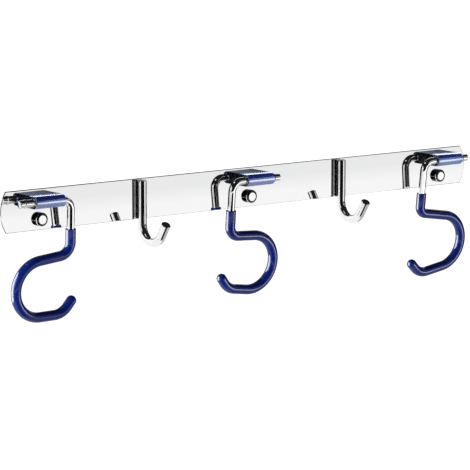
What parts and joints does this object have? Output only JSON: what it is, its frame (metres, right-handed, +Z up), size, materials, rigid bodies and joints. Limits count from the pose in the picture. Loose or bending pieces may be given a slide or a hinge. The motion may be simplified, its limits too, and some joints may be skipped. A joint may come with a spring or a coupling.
{
  "type": "wall mop holder rack",
  "caption": "Polished wall strip with swinging sleeved S hooks in plastic pivot blocks for mop and broom handles, fixed J coat hooks and domed screw caps.",
  "frame": {"origin": "middle of the plate's back face, on the wall", "axes": "+X along the plate to the viewer's right, +Y into the wall, +Z up"},
  "size_m": [0.6268, 0.0533, 0.1446],
  "materials": {
    "polished_plate": "mirror-polished stainless steel",
    "chrome_rod": "bright chrome on steel bar",
    "chrome_cap": "bright chrome",
    "block_plastic": "glossy moulded plastic",
    "sleeve_plastic": "glossy dipped vinyl",
    "seat_plastic": "plain moulded plastic",
    "screw_steel": "zinc-plated steel"
  },
  "bodies": {
    "rack": {"back_plate": "polished_plate", "pivot_block_left": "block_plastic", "pivot_block_centre": "block_plastic", "pivot_block_right": "block_plastic", "coat_hook_left": "chrome_rod", "coat_hook_right": "chrome_rod", "block_screws": "screw_steel", "coat_hook_screws": "screw_steel", "cap_seat_left": "seat_plastic", "cap_seat_centre": "seat_plastic", "cap_seat_right": "seat_plastic"},
    "hook_left": {"holder_rod_left": "chrome_rod", "grip_sleeve_left": "sleeve_plastic"},
    "hook_centre": {"holder_rod_centre": "chrome_rod", "grip_sleeve_centre": "sleeve_plastic"},
    "hook_right": {"holder_rod_right": "chrome_rod", "grip_sleeve_right": "sleeve_plastic"},
    "cap_left": {"screw_cap_left": "chrome_cap"},
    "cap_centre": {"screw_cap_centre": "chrome_cap"},
    "cap_right": {"screw_cap_right": "chrome_cap"}
  },
  "joints": [
    {"name": "hook_left_swing", "type": "hinge", "parent": "rack", "child": "hook_left", "pos_m": [-0.2663, -0.0187, 0.01], "axis": [-1, 0, 0], "range_deg": [0, 190]},
    {"name": "hook_centre_swing", "type": "hinge", "parent": "rack", "child": "hook_centre", "pos_m": [0.0033, -0.0187, 0.01], "axis": [-1, 0, 0], "range_deg": [0, 190]},
    {"name": "hook_right_swing", "type": "hinge", "parent": "rack", "child": "hook_right", "pos_m": [0.2729, -0.0187, 0.01], "axis": [-1, 0, 0], "range_deg": [0, 190]},
    {"name": "cap_left_pull", "type": "slide", "parent": "rack", "child": "cap_left", "axis": [0, -1, 0], "range_m": [0, 0.0036]},
    {"name": "cap_centre_pull", "type": "slide", "parent": "rack", "child": "cap_centre", "axis": [0, -1, 0], "range_m": [0, 0.0036]},
    {"name": "cap_right_pull", "type": "slide", "parent": "rack", "child": "cap_right", "axis": [0, -1, 0], "range_m": [0, 0.0036]}
  ]
}
